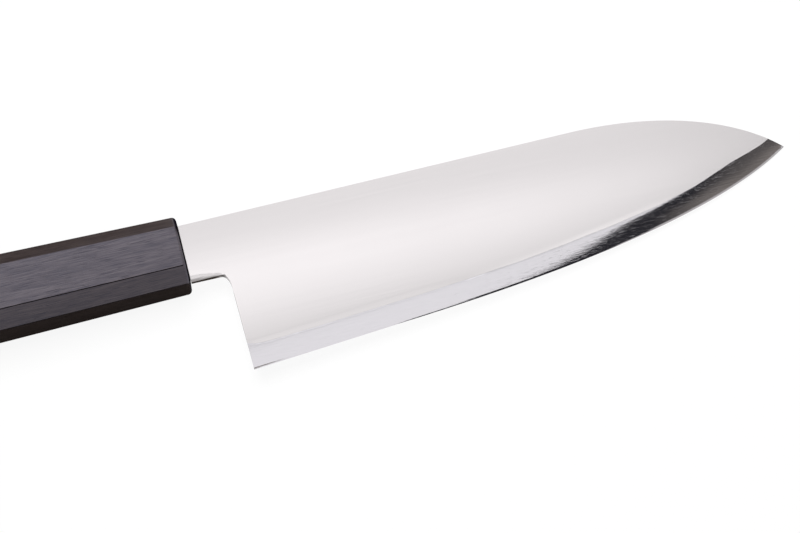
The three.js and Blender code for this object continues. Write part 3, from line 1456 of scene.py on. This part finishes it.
    def _cladding_ring(self, bottom: np.ndarray, top: np.ndarray, face: Depth) -> Ring:
        """Section of the right cladding, with eased outer corners.

        Args:
            bottom: its lower end.
            top: its upper end.
            face: Z of its outer face.

        Returns:
            The section.
        """
        reach = float(np.linalg.norm(top - bottom))
        up = (top - bottom) / max(reach, TINY)
        low_ease, high_ease = (
            min(ease, self.ease_per_depth * (face(end) - self.inner), self.ease_per_reach * reach)
            for ease, end in ((self.choil_ease, bottom), (self.spine_ease, top))
        )
        limits = [reach * self.low_rows_reach * (row + 1) / len(self.low_rows) for row in range(len(self.low_rows))]
        rises = [min(pair) for pair in zip(self.low_rows, limits)]
        shares = [(row + 1) / (self.face_rows + self.face_row_gap) for row in range(self.face_rows)]
        rises += [lerp(rises[-1], reach - high_ease, share) for share in shares]
        squeeze = (reach - high_ease - low_ease, reach - high_ease)
        places = [bottom + up * (low_ease + rise * squeeze[0] / squeeze[1]) for rise in rises]
        return [
            Vector((*bottom, self.inner)),
            *self._eased_corner(bottom, up, low_ease, face),
            *(Vector((*place, face(place))) for place in places),
            *reversed(self._eased_corner(top, -up, high_ease, face)),
            Vector((*top, self.inner)),
        ]

    def cladding_rings(self) -> list[Ring]:
        """Sections of the right cladding from the tang's end to where it runs out at the spine.

        Returns:
            The sections.
        """
        spans = [(*ends, lambda place: self.stock_half) for ends in self._tang_ends()]
        spans += [(place, self._spine_over(place), self.rolled_face(place)) for place in self.outline.underside()]
        spans += [(place, self._spine_over(place), self.face) for place in self._choil_places()]
        spans += [(column.above(column.strip), column.top, self.face) for column in self.columns[: self.steps + 1]]
        return [self._cladding_ring(*span) for span in spans]

    def _by_choil(self, vert: bmesh.types.BMVert) -> bool:
        """Whether a place is on the neck or by the choil, above the strip's end at the heel."""
        x, y = self.outline.heel
        return vert.co.x / MM < x + self.rim_past_heel and vert.co.y / MM > y + self.rim_above_heel

    def _on_painted_shade(self, vert: bmesh.types.BMVert, corner: int) -> float:
        """Share of the painted shade on a cladding.

        Args:
            vert: the place.
            corner: the number of its corner.

        Returns:
            1 on the choil and along the neck's underside, 0 on the faces.
        """
        if not self._by_choil(vert):
            return 0.0
        if corner < self.rim_corners:
            return 1.0
        share = self.neck_share(vert.co.x / MM)
        above = vert.co.y / MM - self.outline.neck_bottom
        return clamp((self.rim_height * share - above) / (self.rim_fade * share)) if share > 0 else 0.0

    def build(self, bench: Workbench) -> None:
        """Models and dresses the three layers.

        Args:
            bench: where the meshes are made.
        """
        core = bench.loft("core_steel_strip", self.core_rings())
        count = len(self._core_levels(self.whole_strip, 0.0))
        # Corners in the groove and along the top, on the right side and on the left
        dips, tops = (count - 2, count + 3), (count, count + 1)
        bench.mark(core, PolishedCore.LINE, lambda vert, corner: float(corner in dips))
        # Painted shade on the core's sides round the neck and down the choil
        bench.mark(core, Steel.PAINTED_SHADE, lambda vert, corner: float(self._by_choil(vert) and corner not in tops))
        dress(bench.lay_down(core, self.core_smooth), PolishedCore(), "core_steel")
        right = bench.loft("right_cladding_face", self.cladding_rings())
        # Painted shade on the cladding along the neck's underside and down the choil
        bench.mark(right, Steel.PAINTED_SHADE, self._on_painted_shade)
        bench.pick(right)
        bpy.ops.object.duplicate()
        left = bpy.context.object
        left.name = left.data.name = "left_cladding_face"
        bpy.ops.object.mode_set(mode="EDIT")
        bpy.ops.mesh.select_all(action="SELECT")
        bpy.ops.transform.mirror(constraint_axis=(False, False, True), center_override=(0, 0, 0))
        for cladding, node in ((left, "left_cladding"), (right, "right_cladding")):
            dress(bench.lay_down(cladding, self.cladding_smooth), SatinCladding(), node)


@dataclass
class Handle:
    """Octagonal handle with rounded ends, bored from the front."""

    length: float = 130.0
    front_half_width: float = 9.19682
    oval: float = 1.7
    flare: float = 2.4
    front_chamfer: float = 4.2
    butt_chamfer: float = 5.2
    front_radius: float = 1.2
    butt_radius: float = 1.5
    ridge_ease: float = 0.2
    ridge_segments: int = 3
    facet_swell: float = 0.0085
    facet_steps: int = 4
    bore_radius: float = 7.14682
    bore_depth: float = 94.0
    bore_sides: int = 48
    end_steps: int = 8
    end_facing: float = 0.99
    slack: float = 0.01
    smooth: float = 25.0
    # Gain and start of the dark ends over their rounding: end grain on the butt and the front face, and painted shade
    # on the front's rounding, which starts earlier at the spine's side
    spine_side_dark: Point = (2.5, 0.4)
    front_dark: Point = (9.0, 5.4)
    butt_dark: Point = (3.3, 1.3)
    spine_side_turn: float = 62.0

    def ring(self, x: float, inset: float) -> Ring:
        """Octagonal section with slightly swelled flats.

        Args:
            x: its place along the handle.
            inset: how far it is in from the handle's flats all round.

        Returns:
            The section.
        """
        chamfer = lerp(self.front_chamfer, self.butt_chamfer, -x / self.length) - inset * (2 - math.sqrt(2))
        wide = self.front_half_width - self.flare * x / self.length - inset
        tall = wide + self.oval / 2
        corners = [
            (tall, chamfer - wide),
            (tall, wide - chamfer),
            (tall - chamfer, wide),
            (chamfer - tall, wide),
            (-tall, wide - chamfer),
            (-tall, chamfer - wide),
            (chamfer - tall, -wide),
            (tall - chamfer, -wide),
        ]
        ring = []
        for (y, z), (next_y, next_z) in zip(corners, corners[1:] + corners[:1]):
            for step in range(self.facet_steps):
                share = step / self.facet_steps
                rise = self.facet_swell * swell(share)
                side = lerp(y, next_y, share) + (next_z - z) * rise
                ring.append(Vector((x, side, lerp(z, next_z, share) + (y - next_y) * rise)))
        return ring

    def rings(self) -> list[Ring]:
        """Sections from the butt to the front face, with quarter-round ends.

        Returns:
            The sections.
        """
        turns = quarter_round(self.end_steps)
        butt = [self.ring(rise * self.butt_radius - self.length, back * self.butt_radius) for rise, back in turns]
        front = [self.ring(-rise * self.front_radius, back * self.front_radius) for rise, back in reversed(turns)]
        return butt + front

    def build(self, bench: Workbench) -> None:
        """Models and dresses the handle.

        Args:
            bench: where the mesh is made.
        """
        body = bench.loft("handle_wood", self.rings())
        label = bmesh.from_edit_mesh(body.data).verts.layers.int[bench.LABEL]

        def on_corner(edge: bmesh.types.BMEdge) -> bool:
            """Whether an edge runs along a ridge between two flats."""
            start, end = (vert[label] for vert in edge.verts)
            return start == end and start % self.facet_steps == 0

        bench.pick_edges(body, on_corner)
        bpy.ops.mesh.bevel(
            offset=self.ridge_ease * MM, segments=self.ridge_segments, affect="EDGES", clamp_overlap=True
        )
        # Painted shade along the lower ridges and the front's rounding
        bench.mark(body, DarkWood.SHADED_RIDGE, self._on_shaded_ridge)
        # End grain at the ends, with painted shade on the front's rounding
        bench.mark(body, DarkWood.END_GRAIN_AND_SHADE, self._on_end)
        self._bore(bench, body)
        dress(bench.lay_down(body, self.smooth, flat_faces=True), DarkWood(), "handle_body")

    def _on_shaded_ridge(self, vert: bmesh.types.BMVert, _corner: int) -> float:
        """Share of the painted shade on the ridges.

        Args:
            vert: the place.
            _corner: the number of its corner, which has no part in it.

        Returns:
            1 in the middle of a lower ridge and on the front edge, 0 on the flats.
        """
        x = vert.co.x / MM
        if x > self.slack - self.front_radius:
            return self._over_front(vert)
        if x < self.butt_radius - self.length - self.slack or vert.co.y > 0:
            return 0.0
        return float(all(face.calc_area() < self.ridge_ease * self.length * MM * MM for face in vert.link_faces))

    def _on_end(self, vert: bmesh.types.BMVert, _corner: int) -> float:
        """Share of the end grain, and of the painted shade on the front's rounding.

        Args:
            vert: the place.
            _corner: the number of its corner, which has no part in it.

        Returns:
            1 on the front and butt faces, 0 where their rounding meets the flats.
        """
        gain, start = self.butt_dark
        butt = 1 - (vert.co.x / MM + self.length) / self.butt_radius
        return max(self._over_front(vert), clamp(butt * gain - start))

    def _over_front(self, vert: bmesh.types.BMVert) -> float:
        """How dark the front's rounding is painted as shade: from early on at the spine's side, and only at its rim
        elsewhere.

        Args:
            vert: the place.

        Returns:
            0 where the rounding meets the flats, up to 1 on the front face.
        """
        share = vert.co.x / MM / self.front_radius + 1
        around = abs(math.degrees(math.atan2(vert.co.z, vert.co.y)))
        gain, start = self.spine_side_dark if around < self.spine_side_turn else self.front_dark
        return clamp(share * gain - start)

    def _bore(self, bench: Workbench, body: bpy.types.Object) -> None:
        """Opens the front face and sinks the bore for the dowel.

        Args:
            bench: where the mesh is made.
            body: the handle, in edit mode.
        """
        bpy.ops.mesh.select_mode(type="FACE")
        bpy.ops.mesh.select_all(action="DESELECT")
        faces = bmesh.from_edit_mesh(body.data).faces
        ends = [face for face in faces if abs(face.normal.x) > self.end_facing]
        max(ends, key=lambda face: face.calc_center_median().x).select_set(True)
        bpy.ops.mesh.delete(type="ONLY_FACE")
        bpy.ops.mesh.primitive_circle_add(
            vertices=self.bore_sides,
            radius=self.bore_radius * MM,
            fill_type="NOTHING",
            location=(0, 0, 0),
            rotation=(0, math.pi / 2, 0),
        )
        bench.pick_edges(body, lambda edge: len(edge.link_faces) < 2)
        bpy.ops.mesh.bridge_edge_loops()
        near = (self.bore_radius + self.slack) * MM

        def on_mouth(edge: bmesh.types.BMEdge) -> bool:
            """Whether an edge is on the bore's rim in the front face."""
            return all(abs(vert.co.x) < TINY and math.hypot(vert.co.y, vert.co.z) < near for vert in edge.verts)

        bench.pick_edges(body, on_mouth)
        bpy.ops.mesh.extrude_edges_move(TRANSFORM_OT_translate={"value": (-self.bore_depth * MM, 0, 0)})
        bpy.ops.mesh.edge_face_add()


@dataclass
class TangFittings:
    """Pieces that hold the tang in the handle: their solids stay, with finishes of their own."""

    amber: Stops = ((0.3, (0.3, 0.19, 0.06)), (0.7, (0.46, 0.32, 0.12)))

    def dress(self) -> None:
        """Gives each solid its finish."""
        for node, finish in (
            ("tang_dowel", PaleWood()),
            ("tang_bedding", Resin("Amber resin", Slot.CLEAR_RESIN, self.amber)),
            ("mouth_seal", Resin("Dark resin", Slot.DARK_RESIN)),
        ):
            finish.coat(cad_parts[node])
            LOG.info("%s: solid kept, %s", node, finish.name)


@dataclass
class Studio:
    """Pale floor, soft overhead light, camera, and the panel, cards and mat that only gloss shows."""

    focal_pixels: float = 2840.02
    picture_width: float = 800.0
    sensor: float = 36.0
    clip: Point = (0.01, 50.0)
    # Camera's distance and aim in millimetres, and its turns in degrees, in the knife's axes
    distance: float = 800.0
    lean: float = 17.2394
    swing: float = 6.0
    slant: float = 13.3078
    aim: Triple = (58.206, -17.861, 0.0)
    key_place: Triple = (0.0, 0.25, 1.2)
    key_size: float = 0.7
    key_level: float = 0.83
    panel_height: float = 0.72
    panel_low: Point = (-0.7, -0.3)
    panel_high: Point = (0.9, 0.7)
    # Width of the bands where X is 0, how fast it narrows with X, and the Y that they fan out from
    panel_fan: Triple = (1.10, 1.4, 0.24)
    panel_narrowest: float = 0.4
    panel_bands: tuple[Point, ...] = (
        (0.090, 0.83),
        (0.127, 0.82),
        (0.142, 0.69),
        (0.151, 0.69),
        (0.178, 0.985),
        (0.198, 1.11),
        (0.212, 1.11),
        (0.235, 0.83),
        (0.249, 0.79),
        (0.283, 0.86),
        (0.307, 0.90),
        (0.403, 1.80),
    )
    panel_fade: Point = (0.13, 0.39)
    panel_fade_power: float = 2.0
    panel_tip_level: float = 0.725
    card_slant: float = 0.64
    card_level_from: float = 0.353
    card_turn: Point = (-0.105, -0.073)
    card_fade: Point = (0.303, 0.358)
    card_ease: Point = (0.335, 0.366)
    card_ease_to: float = 0.68
    card_height: float = 0.70
    card: tuple[Point, ...] = (
        (0.200, 0.084),
        (0.200, 0.040),
        (0.480, 0.040),
        (0.600, 0.200),
        (0.600, 0.325),
        (0.349, 0.191),
        (0.325, 0.1715),
        (0.2905, 0.148),
        (0.256, 0.112),
        (0.2178, 0.0865),
    )
    heel_card: tuple[Point, ...] = ((0.05, -0.32), (0.089, -0.32), (0.089, -0.10), (0.05, -0.10))
    edge_card: tuple[Point, ...] = (
        (0.175, -0.33),
        (0.345, -0.33),
        (0.345, -0.02),
        (0.205, -0.02),
        (0.195, -0.19),
        (0.175, -0.19),
    )
    tip_card: tuple[Point, ...] = ((0.345, -0.33), (0.75, -0.33), (0.75, 0.02), (0.345, -0.06))
    grey: Colour = (0.46, 0.45, 0.44)
    olive: Colour = (0.215, 0.198, 0.18)
    black: Colour = (0.022, 0.022, 0.026)
    mat_low: Point = (-0.20, -0.08)
    mat_high: Point = (0.012, 0.40)
    mat_rise: float = 0.15
    mat_past_neck: float = -0.009
    mat_at_handle: float = -0.018
    mat_fade: float = 0.0045
    mat_near_turn: Point = (0.0, 0.006)
    mat_far_turn: Point = (0.056, 0.068)
    mat_lift: Point = (0.05, 0.3)
    mat_clouds: float = 0.02
    mat_tones: Stops = ((0.3, (0.075, 0.057, 0.045)), (0.7, (0.1, 0.076, 0.06)))
    mat_raised_tones: Stops = ((0.3, (0.12, 0.082, 0.075)), (0.7, (0.16, 0.11, 0.1)))
    floor_size: float = 12.0
    floor_z: float = -0.0002
    floor_tone: float = 0.11
    floor_glow: float = 0.91
    room_level: float = 0.15
    backdrop_level: float = 0.85
    front_level: float = 0.5
    front_turn: Point = (-0.95, -0.55)

    def build(self, bench: Workbench) -> None:
        """Sets the room, the floor, the lamp, the cards, the mat and the camera.

        Args:
            bench: where the meshes of the cards and the mat are made.
        """
        self._room()
        self._floor()
        self._lamp()
        self._overheads(bench)
        self._dark_mat(bench)
        self._camera(bench.pose)

    @staticmethod
    def _seen(board: NodeBoard) -> Socket:
        """Light rays that show the backdrop.

        Args:
            board: the nodes of a material or the world.

        Returns:
            1 for rays from the camera and for mirrored and refracted rays, else 0.
        """
        path = board.add("ShaderNodeLightPath").outputs
        seen = board.math("MAXIMUM", path["Is Camera Ray"], path["Is Glossy Ray"])
        return board.math("MAXIMUM", seen, path["Is Transmission Ray"])

    def _room(self) -> None:
        """World with a pale backdrop, which gloss sees darker on the camera's side, and a weaker fill."""
        world = bpy.data.worlds.new("Studio room")
        bpy.context.scene.world = world
        world.use_nodes = True
        board = NodeBoard(world.node_tree)
        _, y, _ = board.parts(board.place("Generated"))
        side = board.remap(y, *self.front_turn, self.front_level, self.backdrop_level)
        direct = board.add("ShaderNodeLightPath").outputs["Is Camera Ray"]
        level = board.math("MAXIMUM", side, board.math("MULTIPLY", direct, self.backdrop_level))
        fill = board.add("ShaderNodeBackground", Color=WHITE, Strength=self.room_level).outputs[0]
        shown = board.add("ShaderNodeBackground", Color=WHITE, Strength=level).outputs[0]
        light = board.combine("ShaderNodeMixShader", fill, shown, Fac=self._seen(board))
        board.add("ShaderNodeOutputWorld", Surface=light)

    @staticmethod
    def _clear(board: NodeBoard, surface: Socket, share: Socket) -> Socket:
        """Surface that is clear by a share."""
        nothing = board.add("ShaderNodeBsdfTransparent").outputs[0]
        return board.combine("ShaderNodeMixShader", surface, nothing, Fac=share)

    def _floor(self) -> None:
        """Plain pale floor that keeps the knife's shadow, and is clear when it is seen from below."""
        bpy.ops.mesh.primitive_plane_add(size=self.floor_size, location=(0, 0, self.floor_z))
        floor = bpy.context.object
        floor.name = "studio_floor"
        material, board = new_material("Pale floor")
        matt = board.add("ShaderNodeBsdfDiffuse", Color=(self.floor_tone,) * 3 + (1.0,)).outputs[0]
        level = board.math("MULTIPLY", self._seen(board), self.floor_glow)
        glow = board.add("ShaderNodeEmission", Color=WHITE, Strength=level).outputs[0]
        both = board.combine("ShaderNodeAddShader", matt, glow)
        top = self._clear(board, both, board.add("ShaderNodeNewGeometry").outputs["Backfacing"])
        board.add("ShaderNodeOutputMaterial", Surface=top)
        floor.data.materials.append(material)

    def _lamp(self) -> None:
        """Overhead key for the matt surfaces."""
        place = Vector(self.key_place)
        data = bpy.data.lights.new("key_lamp", "AREA")
        data.shape = "RECTANGLE"
        data.size = data.size_y = self.key_size
        share = self.key_size**2 / (math.pi * place.length_squared)
        data.energy = math.pi * self.key_level / share * self.key_size**2
        lamp = bpy.data.objects.new("key_lamp", data)
        lamp.location = place
        lamp.rotation_euler = place.to_track_quat("Z", "Y").to_euler()
        lamp.visible_glossy = False
        bpy.context.scene.collection.objects.link(lamp)

    @staticmethod
    def _glow(name: str, colour: Union[Colour, Callable[[NodeBoard], Socket]]) -> bpy.types.Material:
        """Material that glows.

        Args:
            name: its name.
            colour: its colour, or what works the colour out on the material's board.

        Returns:
            The material.
        """
        material, board = new_material(name)
        shown = colour(board) if callable(colour) else (*colour, 1.0)
        glow = board.add("ShaderNodeEmission", Color=shown, Strength=1.0)
        board.add("ShaderNodeOutputMaterial", Surface=glow.outputs[0])
        return material

    @staticmethod
    def _only_mirrored(piece: bpy.types.Object, material: bpy.types.Material) -> None:
        """Gives a card or mat its material and hides it from all but mirrored rays.

        Args:
            piece: the card or mat.
            material: what it looks like.
        """
        piece.data.materials.append(material)
        piece.visible_camera = piece.visible_diffuse = piece.visible_shadow = False

    def _band_colour(self, board: NodeBoard) -> Socket:
        """Bands of the soft light across the knife, which fade out towards the tip.

        Args:
            board: the panel's nodes.

        Returns:
            The colour.
        """
        x, y, _ = board.parts(board.place())
        start, narrowing, centre = self.panel_fan
        width = board.math("SUBTRACT", start, board.math("MULTIPLY", x, narrowing))
        width = board.math("MAXIMUM", width, self.panel_narrowest)
        across = board.math("ADD", board.math("DIVIDE", board.math("SUBTRACT", y, centre), width), centre)
        band = board.ramp(across, [(place, (level,) * 3) for place, level in self.panel_bands], "EASE")
        fade = board.math("POWER", board.remap(x, *self.panel_fade, 0.0, 1.0), self.panel_fade_power)
        return board.mix(fade, band, (self.panel_tip_level,) * 3)

    def _card_colour(self, board: NodeBoard) -> Socket:
        """Olive where the edge near the tip mirrors the card, and black elsewhere.

        Args:
            board: the card's nodes.

        Returns:
            The colour.
        """
        x, y, _ = board.parts(board.place())
        slant = board.math("MULTIPLY", board.math("MINIMUM", x, self.card_level_from), self.card_slant)
        above = board.remap(board.math("SUBTRACT", y, slant), *self.card_turn, 0.0, 1.0)
        eased = board.math("MULTIPLY", above, board.remap(x, *self.card_ease, 1.0, self.card_ease_to))
        dark = board.math("MAXIMUM", eased, board.remap(x, *self.card_fade, 1.0, 0.0))
        return board.ramp(dark, [(0.0, self.olive), (1.0, self.black)])

    def _overheads(self, bench: Workbench) -> None:
        """Hangs the soft white panel, and the dark cards below it that the polished strip and the edge mirror.

        Args:
            bench: where their meshes are made.
        """
        panel = rectangle(self.panel_low, self.panel_high)
        for name, corners, height, look, colour in (
            ("bright_panel", panel, self.panel_height, "Bright panel", self._band_colour),
            ("dark_card", self.card, self.card_height, "Olive card", self._card_colour),
            ("edge_card", self.edge_card, self.card_height, "Black card", self.black),
            ("heel_card", self.heel_card, self.card_height, "Dim card", self.olive),
            ("tip_card", self.tip_card, self.card_height, "Grey card", self.grey),
        ):
            card = bench.section(name, [Vector((*corner, height)) / MM for corner in corners])
            bench.clear()
            self._only_mirrored(card, self._glow(look, colour))

    def _mat_material(self) -> bpy.types.Material:
        """Dark blotched mat that ends in a soft line beside the handle and the neck.

        Returns:
            The material.
        """
        material, board = new_material("Dark mat")
        clouds = CloudGroup().put(board, self.mat_clouds)
        x, y, _ = board.parts(board.place())
        lying, raised = board.ramp(clouds, self.mat_tones), board.ramp(clouds, self.mat_raised_tones)
        colour = board.mix(board.remap(y, *self.mat_lift, 0.0, 1.0), lying, raised)
        matt = board.add("ShaderNodeBsdfDiffuse", Color=colour).outputs[0]
        near = board.remap(y, *self.mat_near_turn, self.mat_past_neck, self.mat_at_handle)
        far = board.remap(y, *self.mat_far_turn, self.mat_at_handle, self.mat_high[0])
        past = board.math("SUBTRACT", x, board.math("MAXIMUM", near, far))
        faded = self._clear(board, matt, board.remap(past, -self.mat_fade, 0.0, 0.0, 1.0))
        board.add("ShaderNodeOutputMaterial", Surface=faded)
        return material

    def _dark_mat(self, bench: Workbench) -> None:
        """Lays a dark mat under the handle and the neck, turned up behind them, which only their sheen shows.

        Args:
            bench: where its mesh is made.
        """
        corners = rectangle(self.mat_low, self.mat_high)
        mat = bench.section("dark_mat", [Vector((*corner, 0)) / MM for corner in corners])
        bench.pick_edges(mat, lambda edge: all(vert.co.y > self.mat_high[1] - TINY for vert in edge.verts))
        bpy.ops.mesh.extrude_edges_move(TRANSFORM_OT_translate={"value": (0, 0, self.mat_rise)})
        bench.clear()
        self._only_mirrored(mat, self._mat_material())

    def _camera(self, pose: RestPose) -> None:
        """Camera at the photograph's place.

        Args:
            pose: how the knife lies.
        """
        lean, swing = math.radians(self.lean), math.radians(self.swing)
        back = Vector((-math.sin(swing) * math.cos(lean), -math.sin(lean), math.cos(swing) * math.cos(lean)))
        up = Vector((0, 1, 0)) - back * back.y
        up.normalize()
        right = up.cross(back)
        roll = math.radians(self.slant) - math.atan2(up.x, right.x)
        right, up = (
            right * math.cos(roll) - up * math.sin(roll),
            right * math.sin(roll) + up * math.cos(roll),
        )
        stand = Matrix((right, up, back)).transposed().to_4x4()
        stand.translation = (Vector(self.aim) + back * self.distance) * MM
        data = bpy.data.cameras.new("photo_camera")
        data.sensor_width = self.sensor
        data.lens = self.focal_pixels * self.sensor / self.picture_width
        data.clip_start, data.clip_end = self.clip
        camera = bpy.data.objects.new("photo_camera", data)
        bpy.context.scene.collection.objects.link(camera)
        camera.matrix_world = pose.matrix() @ stand
        bpy.context.scene.camera = camera


def main() -> None:
    """Builds the studio and the knife."""
    logging.basicConfig(level=logging.INFO, format="%(name)s: %(message)s")
    bpy.context.scene.view_settings.view_transform = "Standard"
    bench = Workbench(RestPose())
    Studio().build(bench)
    Blade().build(bench)
    Handle().build(bench)
    TangFittings().dress()


if __name__ == "__main__":
    main()
